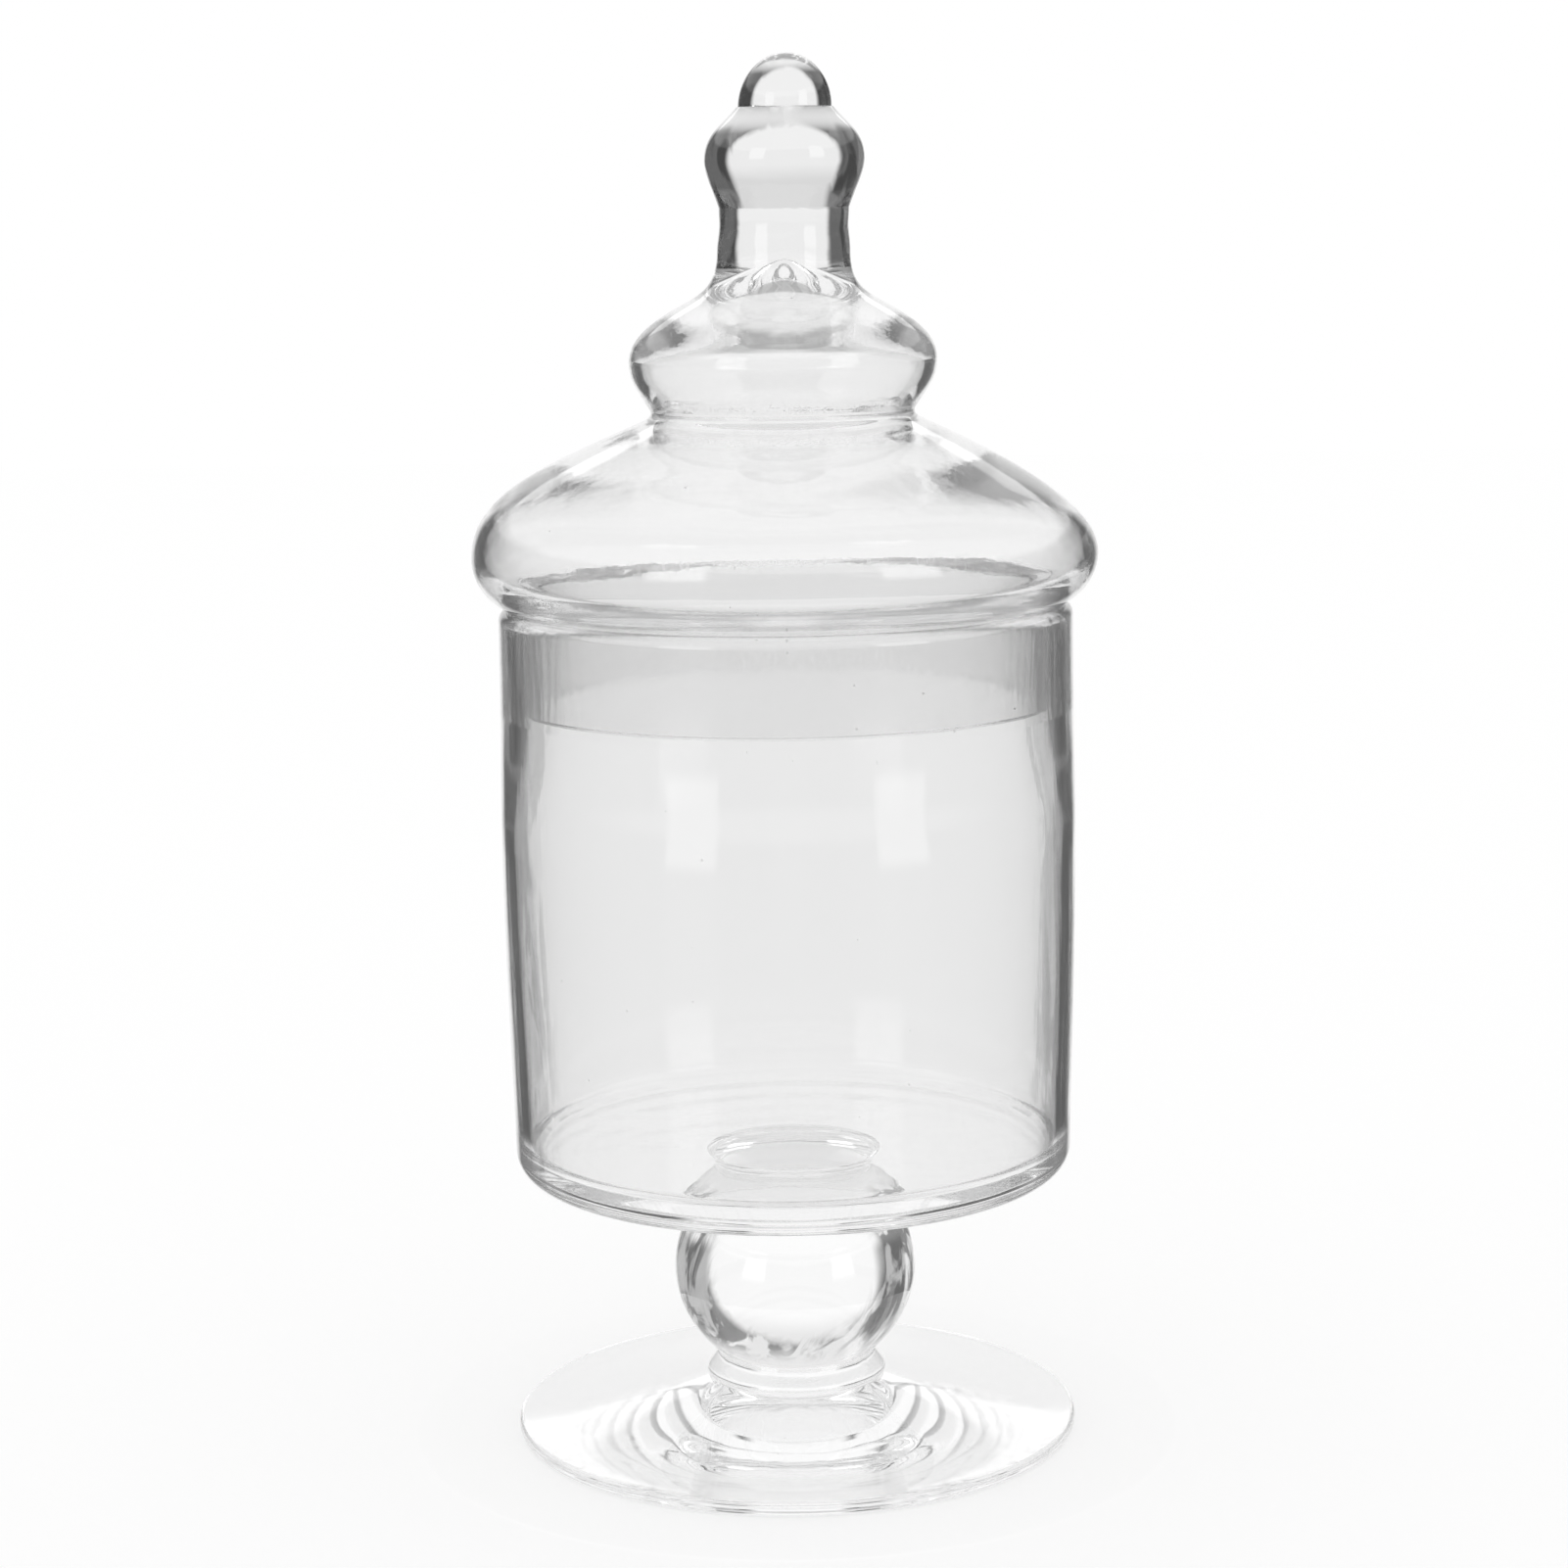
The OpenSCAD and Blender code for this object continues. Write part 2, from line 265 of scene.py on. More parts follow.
def blow(name, outline, sides=160, closed=False, lean=None):
    """A solid drawn out ring by ring along an outline of (radius, height) points, the way glass
    is turned on the iron. The first ring is a disc, or for a closed outline an open ring, and a
    last radius of 0 closes to a point. lean gives how far to the side a height lies."""
    aside = lean or (lambda height: 0.0)
    radius, height = outline[0]
    bpy.ops.object.select_all(action="DESELECT")
    bpy.ops.mesh.primitive_circle_add(
        vertices=sides, radius=radius, fill_type="NOTHING" if closed else "TRIFAN",
        location=(aside(height), 0, height))
    piece = bpy.context.object
    piece.name = piece.data.name = name
    bpy.ops.object.transform_apply(location=True, rotation=True, scale=True)
    bpy.ops.object.mode_set(mode="EDIT")
    bpy.ops.mesh.select_all(action="SELECT")
    for new_radius, new_height in outline[1:] + (outline[:1] if closed else []):
        move = (aside(new_height) - aside(height), 0, new_height - height)
        bpy.ops.mesh.extrude_region_move(TRANSFORM_OT_translate={"value": move})
        if new_radius < 1e-6:
            bpy.ops.mesh.merge(type="CENTER")
            break
        factor = new_radius / radius
        bpy.ops.transform.resize(
            value=(factor, factor, 1), center_override=(aside(new_height), 0, new_height))
        radius, height = new_radius, new_height
    bpy.ops.mesh.select_all(action="SELECT")
    bpy.ops.mesh.remove_doubles(threshold=2e-6)
    bpy.ops.mesh.normals_make_consistent(inside=False)
    bpy.ops.object.mode_set(mode="OBJECT")
    bpy.ops.object.shade_smooth_by_angle(angle=math.radians(38))
    return piece


def blown_surface():
    """Node group: the ripples that hand-worked glass keeps. Puts out a normal."""
    group = bpy.data.node_groups.new("blown_surface", "ShaderNodeTree")
    face = group.interface
    face.new_socket("Place", in_out="INPUT", socket_type="NodeSocketVector")
    for title, value in (("Swirl Size", 60.0), ("Swirl", 0.1), ("Cord Size", 400.0), ("Cord", 0.0),
                         ("Stretch", 1.0)):
        face.new_socket(title, in_out="INPUT", socket_type="NodeSocketFloat").default_value = value
    face.new_socket("Normal", in_out="OUTPUT", socket_type="NodeSocketVector")
    entry = group.nodes.new("NodeGroupInput")
    leave = group.nodes.new("NodeGroupOutput")
    squeeze = group.nodes.new("ShaderNodeCombineXYZ")
    squeeze.inputs[0].default_value = squeeze.inputs[1].default_value = 1.0
    group.links.new(entry.outputs["Stretch"], squeeze.inputs[2])
    scaled = group.nodes.new("ShaderNodeVectorMath")
    scaled.operation = "MULTIPLY"
    group.links.new(entry.outputs["Place"], scaled.inputs[0])
    group.links.new(squeeze.outputs[0], scaled.inputs[1])
    swirl = group.nodes.new("ShaderNodeTexNoise")
    swirl.inputs["Detail"].default_value = 2.0
    swirl.inputs["Distortion"].default_value = 0.6
    group.links.new(scaled.outputs[0], swirl.inputs["Vector"])
    group.links.new(entry.outputs["Swirl Size"], swirl.inputs["Scale"])
    cord = group.nodes.new("ShaderNodeTexNoise")
    cord.inputs["Detail"].default_value = 3.0
    group.links.new(scaled.outputs[0], cord.inputs["Vector"])
    group.links.new(entry.outputs["Cord Size"], cord.inputs["Scale"])
    soft = group.nodes.new("ShaderNodeBump")
    soft.inputs["Distance"].default_value = 0.002
    group.links.new(swirl.outputs["Fac"], soft.inputs["Height"])
    group.links.new(entry.outputs["Swirl"], soft.inputs["Strength"])
    fine = group.nodes.new("ShaderNodeBump")
    fine.inputs["Distance"].default_value = 0.0005
    group.links.new(cord.outputs["Fac"], fine.inputs["Height"])
    group.links.new(entry.outputs["Cord"], fine.inputs["Strength"])
    group.links.new(soft.outputs[0], fine.inputs["Normal"])
    group.links.new(fine.outputs[0], leave.inputs["Normal"])
    return group


def wear():
    """Node group: fine scratches and a breath of dust. Puts out a roughness and a shade."""
    group = bpy.data.node_groups.new("wear", "ShaderNodeTree")
    face = group.interface
    face.new_socket("Place", in_out="INPUT", socket_type="NodeSocketVector")
    for title, value in (("Scratches", 0.1), ("Haze", 0.0), ("Seeds", 0.1)):
        face.new_socket(title, in_out="INPUT", socket_type="NodeSocketFloat").default_value = value
    face.new_socket("Roughness", in_out="OUTPUT", socket_type="NodeSocketFloat")
    face.new_socket("Shade", in_out="OUTPUT", socket_type="NodeSocketFloat")
    entry = group.nodes.new("NodeGroupInput")
    leave = group.nodes.new("NodeGroupOutput")

    def line(turn, size):
        """Thin broken lines, one set for each way that the glass was rubbed."""
        rotate = group.nodes.new("ShaderNodeMapping")
        rotate.inputs["Rotation"].default_value = (0, 0, turn)
        rotate.inputs["Scale"].default_value = (size, size * 0.035, size * 0.3)
        group.links.new(entry.outputs["Place"], rotate.inputs["Vector"])
        noise = group.nodes.new("ShaderNodeTexNoise")
        noise.inputs["Scale"].default_value = 1.0
        noise.inputs["Detail"].default_value = 1.0
        group.links.new(rotate.outputs[0], noise.inputs["Vector"])
        return math_node(group, "GREATER_THAN", noise.outputs["Fac"], 0.68)

    rubbed = 0.0
    for turn, size in ((0.4, 900), (1.3, 1100), (2.2, 1000), (2.8, 1300)):
        rubbed = math_node(group, "MAXIMUM", rubbed, line(turn, size))
    rubbed = math_node(group, "MULTIPLY", rubbed, entry.outputs["Scratches"])
    bubble = group.nodes.new("ShaderNodeTexVoronoi")
    bubble.inputs["Scale"].default_value = 75.0
    group.links.new(entry.outputs["Place"], bubble.inputs["Vector"])
    seed = math_node(group, "LESS_THAN", bubble.outputs["Distance"], 0.022)
    seed = math_node(group, "MULTIPLY", seed, entry.outputs["Seeds"])
    rough = math_node(group, "ADD", entry.outputs["Haze"],
                      math_node(group, "MAXIMUM", rubbed, seed))
    group.links.new(rough, leave.inputs["Roughness"])
    shade = math_node(group, "SUBTRACT", 1.0, math_node(group, "MULTIPLY", seed, 0.7))
    group.links.new(shade, leave.inputs["Shade"])
    return group


def flank_shade_streaks():
    """Node group: a stretched, slanted noise mask that makes the border of the painted flank shade
    ragged and breaks it up. Puts out a mask.
    """
    group = bpy.data.node_groups.new("flank_shade_streaks", "ShaderNodeTree")
    face = group.interface
    face.new_socket("Place", in_out="INPUT", socket_type="NodeSocketVector")
    for title, value in (("Size", 120.0), ("Lengthen", 0.2), ("Slant", 0.3)):
        face.new_socket(title, in_out="INPUT", socket_type="NodeSocketFloat").default_value = value
    face.new_socket("Mask", in_out="OUTPUT", socket_type="NodeSocketFloat")
    entry = group.nodes.new("NodeGroupInput")
    leave = group.nodes.new("NodeGroupOutput")
    slant = group.nodes.new("ShaderNodeVectorRotate")
    slant.rotation_type = "Y_AXIS"
    group.links.new(entry.outputs["Place"], slant.inputs["Vector"])
    group.links.new(entry.outputs["Slant"], slant.inputs["Angle"])
    squeeze = group.nodes.new("ShaderNodeCombineXYZ")
    squeeze.inputs[0].default_value = squeeze.inputs[1].default_value = 1.0
    group.links.new(entry.outputs["Lengthen"], squeeze.inputs[2])
    scaled = group.nodes.new("ShaderNodeVectorMath")
    scaled.operation = "MULTIPLY"
    group.links.new(slant.outputs[0], scaled.inputs[0])
    group.links.new(squeeze.outputs[0], scaled.inputs[1])
    noise = group.nodes.new("ShaderNodeTexNoise")
    noise.inputs["Detail"].default_value = 3.0
    noise.inputs["Distortion"].default_value = 0.8
    group.links.new(scaled.outputs[0], noise.inputs["Vector"])
    group.links.new(entry.outputs["Size"], noise.inputs["Scale"])
    group.links.new(step(group, noise.outputs["Fac"], 0.42, 0.58), leave.inputs["Mask"])
    return group


blown_group = blown_surface()
wear_group = wear()
flank_shade_streak_group = flank_shade_streaks()


def painted_flank_shade(tree, place, edge, level, ragged, broken, shade_streak):
    """Share of painted shade at a surface's flanks, 0 to 1, darker where it turns away from the
    view.
    edge gives the facing where that starts and where it is full."""
    drawn = tree.nodes.new("ShaderNodeGroup")
    drawn.node_tree = flank_shade_streak_group
    tree.links.new(place, drawn.inputs["Place"])
    for title, value in zip(("Size", "Lengthen", "Slant"), shade_streak):
        drawn.inputs[title].default_value = value
    mask = drawn.outputs["Mask"]
    facing = tree.nodes.new("ShaderNodeLayerWeight").outputs["Facing"]
    dark = step(tree, math_node(tree, "MULTIPLY_ADD", mask, ragged, facing), edge[0], edge[1])
    gaps = math_node(tree, "MULTIPLY_ADD", mask, -broken, 1.0)
    normal = tree.nodes.new("ShaderNodeSeparateXYZ")
    tree.links.new(tree.nodes.new("ShaderNodeNewGeometry").outputs["Normal"], normal.inputs[0])
    tilt = math_node(tree, "ABSOLUTE", normal.outputs["Z"])
    upright = math_node(tree, "SUBTRACT", 1.0, step(tree, tilt, level, level + 0.25))
    return math_node(tree, "MULTIPLY", math_node(tree, "MULTIPLY", dark, gaps), upright)


def clear_glass(name, tint=0.96, edge=None, level=2.0, ragged=0.0, broken=0.0,
                shade_streak=(120, 0.2, 0.3), swirl=0.1, swirl_size=60.0, cord=0.0, cord_size=400.0,
                stretch=1.0, scratches=0.1, haze=0.0, seeds=0.3):
    """Clear soda-lime glass. edge paints shade into its colour where it turns away from the view,
    standing in for the dark that a thick solid shows at its flanks: where that painted shade
    starts, where it is full, and how dark. It fades where the surface turns up or down by more
    than level, which 2 never does, and a streaky mask makes its border ragged or breaks it up."""
    material = bpy.data.materials.new(name)
    material.use_nodes = True
    tree = material.node_tree
    glass = tree.nodes["Principled BSDF"]
    glass.inputs["Transmission Weight"].default_value = 1.0
    glass.inputs["IOR"].default_value = 1.5
    place = tree.nodes.new("ShaderNodeTexCoord").outputs["Object"]
    ripples = tree.nodes.new("ShaderNodeGroup")
    ripples.node_tree = blown_group
    tree.links.new(place, ripples.inputs["Place"])
    for title, value in (("Swirl Size", swirl_size), ("Swirl", swirl), ("Cord Size", cord_size),
                         ("Cord", cord), ("Stretch", stretch)):
        ripples.inputs[title].default_value = value
    tree.links.new(ripples.outputs["Normal"], glass.inputs["Normal"])
    rubbed = tree.nodes.new("ShaderNodeGroup")
    rubbed.node_tree = wear_group
    tree.links.new(place, rubbed.inputs["Place"])
    for title, value in (("Scratches", scratches), ("Haze", haze), ("Seeds", seeds)):
        rubbed.inputs[title].default_value = value
    tree.links.new(rubbed.outputs["Roughness"], glass.inputs["Roughness"])
    shade = tree.nodes.new("ShaderNodeMix")
    shade.data_type = "RGBA"
    shade.blend_type = "MULTIPLY"
    shade.inputs["Factor"].default_value = 1.0
    tree.links.new(rubbed.outputs["Shade"], shade.inputs["B"])
    shade.inputs["A"].default_value = (tint, tint, tint, 1)
    # Painted shade: the tint is mixed towards a dark grey at the flanks, by how far the surface
    # faces away.
    if edge:
        painted_shade_mix = tree.nodes.new("ShaderNodeMix")
        painted_shade_mix.data_type = "RGBA"
        painted_shade_mix.inputs["A"].default_value = (tint, tint, tint, 1)
        painted_shade_mix.inputs["B"].default_value = (edge[2], edge[2], edge[2], 1)
        share = painted_flank_shade(tree, place, edge, level, ragged, broken, shade_streak)
        tree.links.new(share, painted_shade_mix.inputs["Factor"])
        tree.links.new(painted_shade_mix.outputs["Result"], shade.inputs["A"])
    tree.links.new(shade.outputs["Result"], glass.inputs["Base Color"])
    return material


# Where two gathers of hot glass were joined, nothing is left to see between them: the faces they
# share let light straight through.
fused = bpy.data.materials.new("fused_joint")
fused.use_nodes = True
tree = fused.node_tree
tree.nodes.clear()
nothing = tree.nodes.new("ShaderNodeBsdfTransparent")
out = tree.nodes.new("ShaderNodeOutputMaterial")
tree.links.new(nothing.outputs[0], out.inputs["Surface"])


def finish_glass(piece, node, body, material, joints=()):
    """Gives a piece its glass and its place on the frame. Each joint is the height of the flat
    face that it shares with a neighbour, and the smallest and largest radius of that face."""
    piece.data.materials.append(material)
    piece.data.materials.append(fused)
    for face in piece.data.polygons:
        middle = face.center
        for height, least, most in joints:
            if abs(middle.z - height) < 2e-5 and least <= math.hypot(middle.x, middle.y) <= most:
                face.material_index = 1
    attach(piece, body)
    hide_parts(node)


foot_top = (pad_radius - 0.0006, seat_height)
foot = blow("foot_disc", [foot_top]
            + curve(foot_top, (0.009, -0.0026), (0.014, -0.0006),
                    (foot_radius - foot_round, foot_edge), 24)
            + oval((foot_radius - foot_round, foot_edge - foot_round), foot_round, foot_round,
                   75, 0, 6)
            + oval((foot_radius - foot_round, foot_round), foot_round, foot_round, -15, -90, 6)
            + [(rest_radius, 0)]
            + curve((rest_radius, 0), (-rest_radius * 0.3, foot_hollow * 0.6),
                    (-rest_radius * 0.4, 0), (0, foot_hollow), 20))
foot_material = clear_glass("foot_glass", tint=0.99, swirl=0.04, swirl_size=45, scratches=0.05)
finish_glass(foot, "foot", "jar", foot_material,
             [(seat_height, 0, foot_top[0])])

# The lower neck: a pad of hot glass pressed on to the foot to hold the knop. It is a little wider
# than the knop's neck and rounds over on to the foot.
knop_low, knop_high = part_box("ball_knop")
bowl_low, bowl_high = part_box("bowl")
neck_radius = 0.0175
neck_height = knop_low.z - seat_height
foot_neck = blow("lower_neck", [foot_top]
                 + curve(foot_top, (0.0016, neck_height * 0.3), (0, neck_height * 0.36),
                         (neck_radius, knop_low.z), 12))
# The stem glass paints dark shade into its colour at the flanks, broken into streaky bands; the
# pad glass is the same glass without that painted shade.
stem_material = clear_glass("stem_glass", tint=0.985, edge=(0.27, 0.36, 0.09), level=0.5,
                            ragged=0.06, broken=0.95, shade_streak=(210, 0.25, -0.5), swirl=0.08,
                            swirl_size=60,
                            scratches=0.05)
pad_material = clear_glass("pad_glass", tint=0.985, swirl=0.08, swirl_size=120, scratches=0.05)
finish_glass(foot_neck, "foot_neck", "jar", pad_material,
             [(seat_height, 0, foot_top[0]), (knop_low.z, 0, neck_radius)])

# The knop: a solid ball of glass, a little flattened, that makes the stem. It acts as a lens, and
#  its flanks show the dark of the room, deepened by painted shade in the stem glass's colour.
knop_radius = knop_high.x
knop_cut = math.acos(neck_radius / knop_radius)
knop_middle = (knop_low.z + knop_high.z) / 2
knop_up = (knop_high.z - knop_low.z) / 2 / math.sin(knop_cut)
knop = blow("knop", oval((0, knop_middle), knop_radius, knop_up,
                              -math.degrees(knop_cut), math.degrees(knop_cut), 48))
finish_glass(knop, "ball_knop", "jar", stem_material,
             [(knop_low.z, 0, neck_radius), (knop_high.z, 0, neck_radius)])

# The upper neck: the short waist between the knop and the bowl, spread where it was pressed on to
# the bowl's floor.
top_pad_radius = neck_radius + 0.0017
top_neck_height = bowl_low.z - knop_high.z
top_neck = blow("upper_neck", [(neck_radius, knop_high.z)]
                + curve((neck_radius, knop_high.z), (0, top_neck_height * 0.4),
                        (0.0012, top_neck_height * 0.3), (top_pad_radius, bowl_low.z), 10))
finish_glass(top_neck, "bowl_neck", "jar", pad_material,
             [(knop_high.z, 0, neck_radius), (bowl_low.z, 0, top_pad_radius)])

# The bowl: one blown cylinder with a thick floor. Its lip is thicker than its wall, with a crest
# rounded in the flame, and the inside of the mouth is ground true to take the lid.
bowl_wall = 0.003
bowl_floor = 0.006
bowl_corner = 0.0052
floor_corner = 0.0036
floor_dish = 0.0012
lip_wall = 0.0052
bowl_full = 0.072
bowl_radius = bowl_high.x
base_radius = bowl_radius - 0.0013
rim_radius = bowl_radius - 0.0005
mouth_radius = rim_radius - lip_wall
lip_radius = rim_radius - lip_wall / 2
bowl_bottom = bowl_low.z
floor_top = bowl_bottom + bowl_floor
full_height = bowl_bottom + bowl_full
lip_height = bowl_high.z - lip_wall / 2
collar_low, collar_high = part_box("lid_collar")
ground_height = collar_low.z - 0.0015
taper = ground_height - full_height
floor_radius = base_radius - bowl_wall - floor_corner

outside = (
    oval((base_radius - bowl_corner, bowl_bottom + bowl_corner), bowl_corner, bowl_corner,
         -90, 0, 12)
    + curve((base_radius, bowl_bottom + bowl_corner), (0.0002, 0.013), (0, 0.027),
            (bowl_radius, full_height), 16)
    + curve((bowl_radius, full_height), (0, 0.015), (0, 0.02), (rim_radius, lip_height), 16)
)
inside = (
    curve((mouth_radius, ground_height), (0, -taper * 0.45), (0, -taper * 0.4),
          (bowl_radius - bowl_wall, full_height), 14)
    + curve((bowl_radius - bowl_wall, full_height), (0, -0.025), (-0.0002, -0.012),
            (base_radius - bowl_wall, floor_top + floor_corner), 16)
    + oval((floor_radius, floor_top + floor_corner),
           floor_corner, floor_corner, -10, -90, 10)
    + curve((floor_radius, floor_top), (-floor_radius * 0.26, -floor_dish * 0.7),
            (-floor_radius * 0.5, 0), (0, floor_top - floor_dish), 16)
)
ground_rings = [(mouth_radius, lip_height - (lip_height - ground_height) * i / 8)
                for i in range(1, 9)]
bowl = blow("blown_bowl", [(top_pad_radius, bowl_bottom)] + outside
            + oval((lip_radius, lip_height), lip_wall / 2, lip_wall / 2, 9, 180, 19)
            + ground_rings + inside, sides=224)
# Painted shade darkens the bowl glass's colour at the flanks of its walls, with a ragged border.
bowl_material = clear_glass("bowl_glass", tint=0.952, edge=(0.64, 0.74, 0.6), ragged=0.12,
                            shade_streak=(170, 0.1, 0.12), swirl=0.05, swirl_size=35, cord=0.04,
                            cord_size=220, stretch=0.12, scratches=0.04)
finish_glass(bowl, "bowl", "jar", bowl_material,
             [(bowl_bottom, 0, top_pad_radius)])
ground_material = clear_glass("ground_glass", tint=0.95, swirl=0.08, swirl_size=90, cord=0.05,
                              cord_size=500, stretch=0.25, scratches=0.06, haze=0.1)
bowl.data.materials.append(ground_material)
base_material = clear_glass("base_glass", tint=0.96, swirl=0.12, swirl_size=20, scratches=0.08)
bowl.data.materials.append(base_material)
# The mouth's inside is ground and a little hazy, and the flat of the base is gently rippled.
for face in bowl.data.polygons:
    middle = face.center
    in_ground = ground_height < middle.z < lip_height
    if in_ground and math.hypot(middle.x, middle.y) < mouth_radius + 1e-4:
        face.material_index = 2
    elif middle.z < floor_top + 1e-4 and abs(face.normal.z) > 0.9 and face.material_index == 0:
        face.material_index = 3

# The collar: the lid's sleeve, ground on the outside to slide into the mouth. Its lower edge was
# cut and bevelled by the wheel, which chipped it a little.
seat = collar_high.z
collar_radius = collar_high.x
collar_wall = 0.0026
collar_bore = collar_radius - collar_wall
collar_bevel = 0.0005
collar_foot = collar_low.z
collar = blow("ground_collar", [
    (collar_bore, seat), (collar_bore, collar_foot + collar_bevel),
    (collar_bore + collar_bevel, collar_foot), (collar_radius - collar_bevel, collar_foot),
    (collar_radius, collar_foot + collar_bevel), (collar_radius, seat)], sides=224, closed=True)
finish_glass(collar, "lid_collar", "lid", ground_material,
             [(seat, collar_bore, collar_radius)])

# The dome: the blown body of the lid. It rests on the rim with its shoulder, rolls out past it
# and closes in again to the crown's neck.
dome_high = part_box("lid_dome")[1]
crown_low, crown_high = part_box("lid_crown")
lid_radius = dome_high.x
dome_wall = 0.0028
dome_root = 0.005
lid_roll = 0.0105
crown_neck_radius = 0.02835
dome_full = seat + lid_roll
crown_neck = crown_low.z
dome_height = crown_neck - dome_full
dome_turn = (0.634, 0.746)
dome_slope = math.radians(25.6)
dome_sway = 0.0016


def dome_back(depth, root):
    """Outline of the dome's back, from its fullest ring to the neck, a depth inside its outside
    and root inside it next to the neck."""
    reach = lid_radius - crown_neck_radius
    out = (math.cos(dome_slope), -math.sin(dome_slope))
    sink = (depth + root) / 2
    turn = (lid_radius - reach * dome_turn[0] - sink * math.sin(dome_slope),
            dome_full + dome_height * dome_turn[1] - sink * math.cos(dome_slope))
    return (
        curve((lid_radius - depth, dome_full), (0, dome_height * 0.33),
              (-out[0] * reach * 0.31, -out[1] * reach * 0.31), turn, 24)
        + curve(turn, (-out[0] * reach * 0.4, -out[1] * reach * 0.4),
                (0, dome_height * 0.066 + root), (crown_neck_radius - depth, crown_neck), 20)
    )


def dome_lean(height):
    """How far the dome's back lies to the side, most of it half way up."""
    part = min(1.0, max(0.0, (height - dome_full) / dome_height))
    return -dome_sway * math.sin(math.pi * part) ** 2


dome = blow("blown_dome",
            [(collar_bore, seat), (collar_radius, seat), (lip_radius, seat)]
            + curve((lip_radius, seat), (0.0024, 0), (0, lid_roll * 0.6),
                    (lid_radius, dome_full), 14)
            + dome_back(0, 0)
            + list(reversed(dome_back(dome_wall, dome_root)))
            + [(lid_radius - dome_wall, dome_full)]
            + curve((lid_radius - dome_wall, dome_full), (0, -lid_roll * 0.6),
                    (-0.0003, -lid_roll * 0.2), (collar_bore, seat), 14)[:-1],
            sides=224, closed=True, lean=dome_lean)
# Painted shade darkens the lid glass's colour where the dome and the crown turn away from the
# view.
lid_material = clear_glass("lid_glass", tint=0.95, edge=(0.55, 0.8, 0.7), swirl=0.04,
                           swirl_size=45, cord=0.02, cord_size=260, stretch=1.6, scratches=0.08)
finish_glass(dome, "lid_dome", "lid", lid_material,
             [(seat, collar_bore, collar_radius),
              (crown_neck, crown_neck_radius - dome_wall, crown_neck_radius)])

# The crown: a second, smaller bubble over the dome. Its hollow runs up to a small peak, left by
# the iron, under the solid finial. From here up the lid leans a hair to one side.
crown_wall = 0.0026
crown_cap = 0.0022
stem_radius = 0.0142
stem_foot = crown_high.z
crown_radius = crown_high.x
crown_full = crown_neck + 0.0101
crown_up = stem_foot - crown_full
crown_rise = crown_full - crown_neck
throat = crown_neck_radius - dome_wall
peak = stem_foot - crown_cap
lean_slope = 0.0215


def hand_lean(height):
    """How far the crown and the finial lie to the side at a height."""
    return lean_slope * max(0.0, height - crown_neck)


roof = (stem_radius * 0.72, peak - (peak - crown_full) * 0.34)
hip = (stem_radius + (crown_radius - stem_radius) * 0.39, crown_full + crown_up * 0.53)
crown_outside = (
    curve((stem_radius, stem_foot), (0, -crown_up * 0.32), (0.0037, -0.002), hip, 16)
    + curve(hip, (0.0096, -0.0051), (0, -crown_up * 0.17), (crown_radius, crown_full), 20)
    + curve((crown_radius, crown_full), (0, -crown_rise * 0.44), (-0.0012, -crown_rise * 0.24),
            (crown_neck_radius, crown_neck), 14)
)
crown_inside = (
    curve((throat, crown_neck), (0.0008, crown_rise * 0.26), (0, crown_rise * 0.44),
          (crown_radius - crown_wall, crown_full), 14)
    + curve((crown_radius - crown_wall, crown_full), (0, crown_up * 0.2), (-0.007, 0.0052),
            roof, 20)
    + curve(roof, (-0.0034, 0.0026), (-0.002, 0.0002), (0, peak), 14)
)
crown = blow("crown", [(stem_radius, stem_foot)] + crown_outside + [(throat, crown_neck)]
             + crown_inside, sides=192, lean=hand_lean)
finish_glass(crown, "lid_crown", "lid", lid_material,
             [(crown_neck, throat, crown_neck_radius), (stem_foot, 0, stem_radius)])
# The finial glass paints deep shade, nearly black, into its colour at the flanks of the stem, bulb
# and tip, standing in for the dark room seen through a solid rod.
finial_material = clear_glass("finial_glass", tint=0.89, edge=(0.25, 0.34, 0.015), level=0.55,
                              ragged=0.03, broken=0.08, shade_streak=(160, 0.3, 0.2), swirl=0.1,
                              swirl_size=120,
                              scratches=0.05, seeds=0.5)
crown.data.materials.append(finial_material)
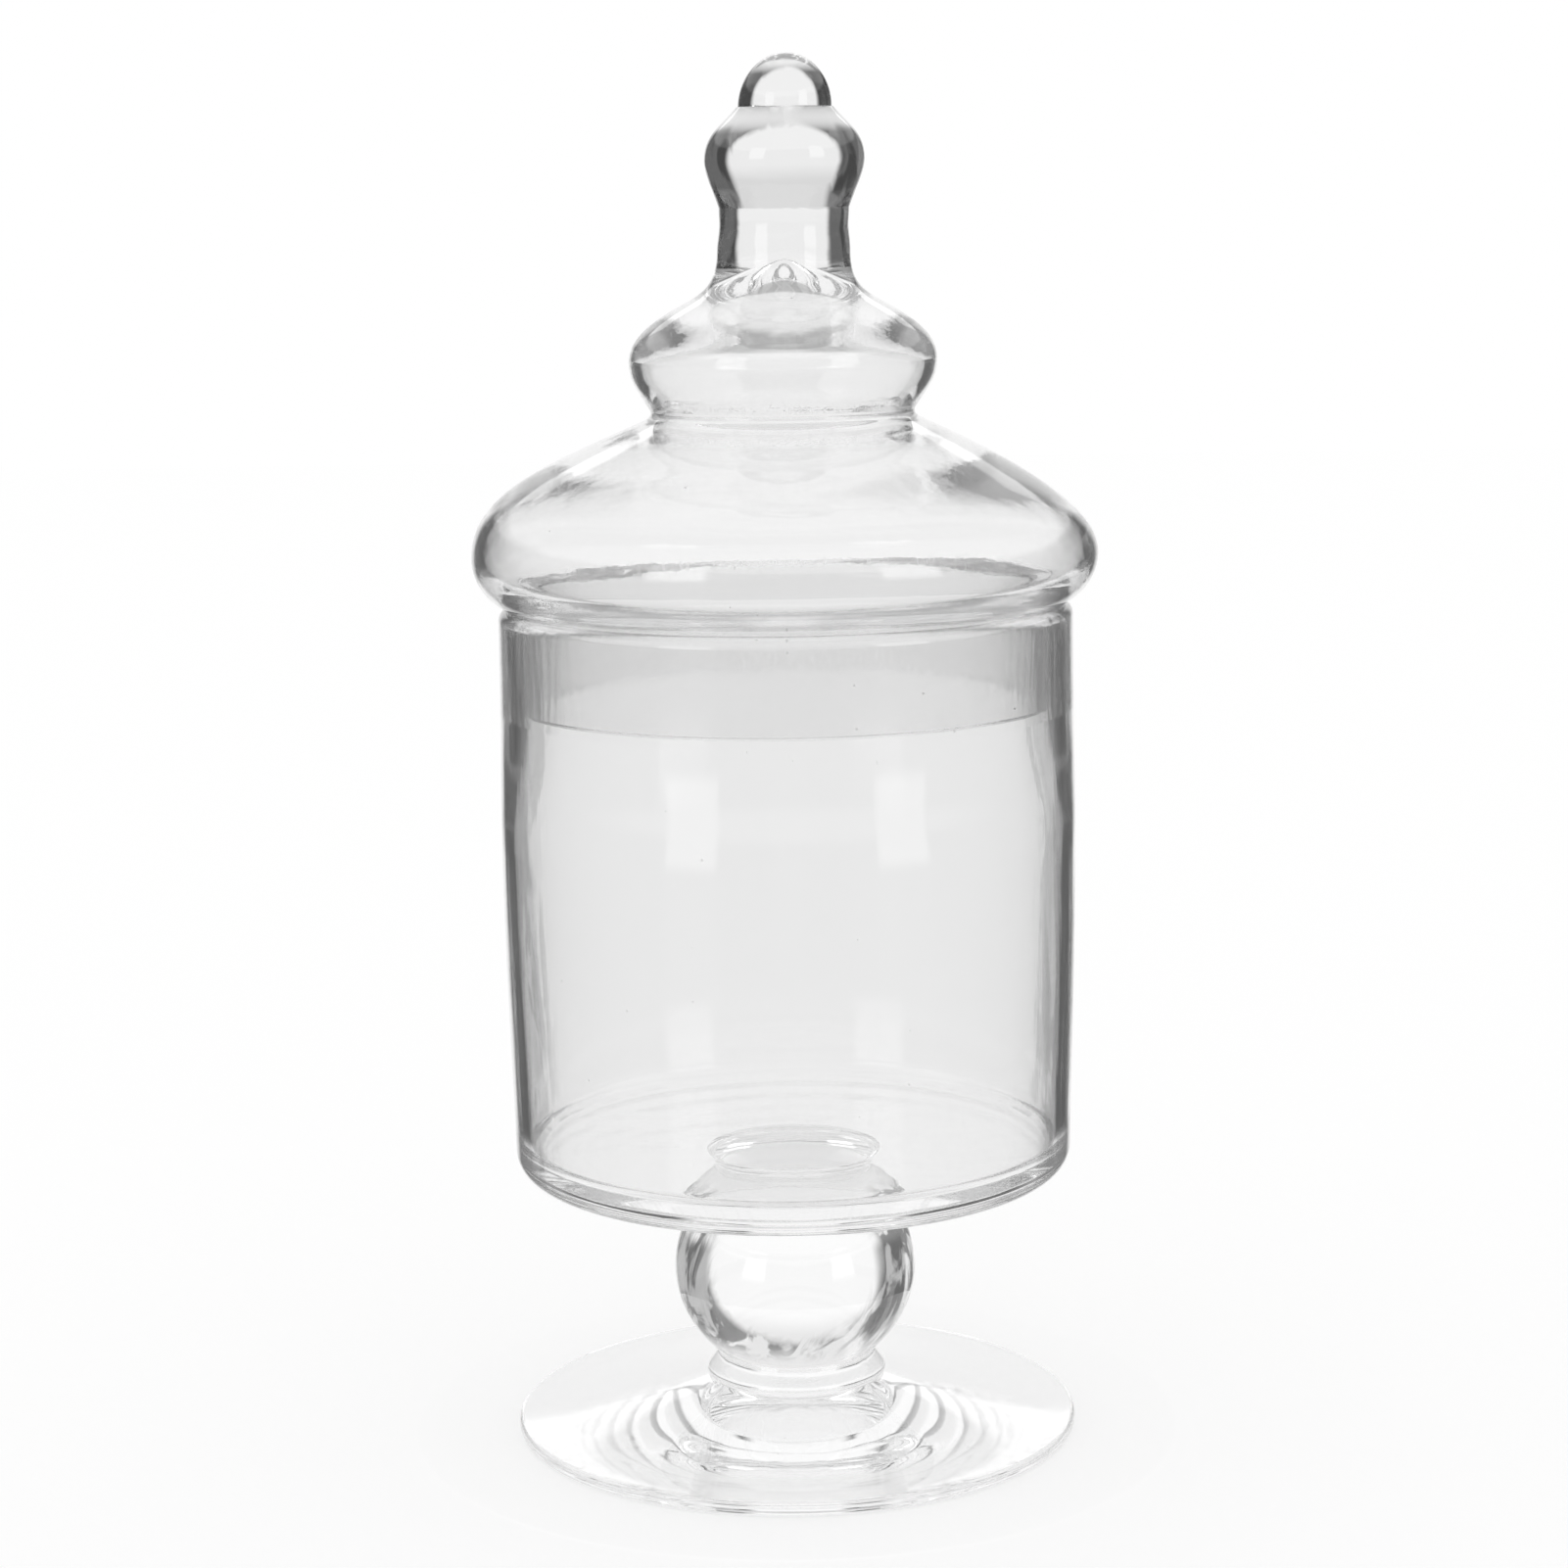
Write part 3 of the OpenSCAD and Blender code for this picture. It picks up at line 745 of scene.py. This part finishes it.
# Its top is solid, so it takes the finial glass, with the same painted shade at its flanks as the
# stem on it.
solid_top = stem_foot - 0.004
for face in crown.data.polygons:
    if face.center.z > solid_top and face.normal.z < 0.6 and face.material_index == 0:
        face.material_index = 2

# The finial's stem: a solid rod of glass drawn up from the crown, a little waisted.
bulb_low, bulb_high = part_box("finial_bulb")
tip_low, tip_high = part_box("finial_tip")
waist_radius = 0.01375
bulb_foot_radius = waist_radius + 0.00015
stem_length = bulb_low.z - stem_foot
waist = (waist_radius, stem_foot + stem_length * 0.62)
stem = blow("stem_rod", [(stem_radius, stem_foot)]
            + curve((stem_radius, stem_foot), (0, stem_length * 0.2), (0, stem_length * 0.2),
                    waist, 10)
            + curve(waist, (0, stem_length * 0.1), (0, stem_length * 0.1),
                    (bulb_foot_radius, bulb_low.z), 6), lean=hand_lean)
finish_glass(stem, "finial_stem", "lid", finial_material,
             [(stem_foot, 0, stem_radius), (bulb_low.z, 0, bulb_foot_radius)])

# The finial's bulb: a solid gather set on the stem. The seam between the two still shows.
bulb_radius = bulb_high.x
bulb_full = bulb_low.z + 0.0102
bulb_rise = bulb_full - bulb_low.z
bulb_up = bulb_high.z - bulb_full
tip_radius = 0.00995
bulb_top_radius = tip_radius + 0.0004
bulb = blow("bulb", [(bulb_foot_radius, bulb_low.z)]
            + curve((bulb_foot_radius, bulb_low.z), (0.0011, bulb_rise * 0.34),
                    (0, bulb_rise * 0.3), (bulb_radius, bulb_full), 14)
            + curve((bulb_radius, bulb_full), (0, bulb_up * 0.5), (-0.0026, bulb_up * 0.3),
                    (bulb_top_radius, bulb_high.z), 14), lean=hand_lean)
finish_glass(bulb, "finial_bulb", "lid", finial_material,
             [(bulb_low.z, 0, bulb_foot_radius), (bulb_high.z, 0, tip_radius)])

# The finial's tip: a small round button of glass, the last thing put on.
tip = blow("tip_button", oval((0, tip_low.z), tip_radius, tip_high.z - tip_low.z, 0, 88, 18)
           + [(0, tip_high.z)], lean=hand_lean)
finish_glass(tip, "finial_tip", "lid", finial_material,
             [(tip_low.z, 0, tip_radius)])
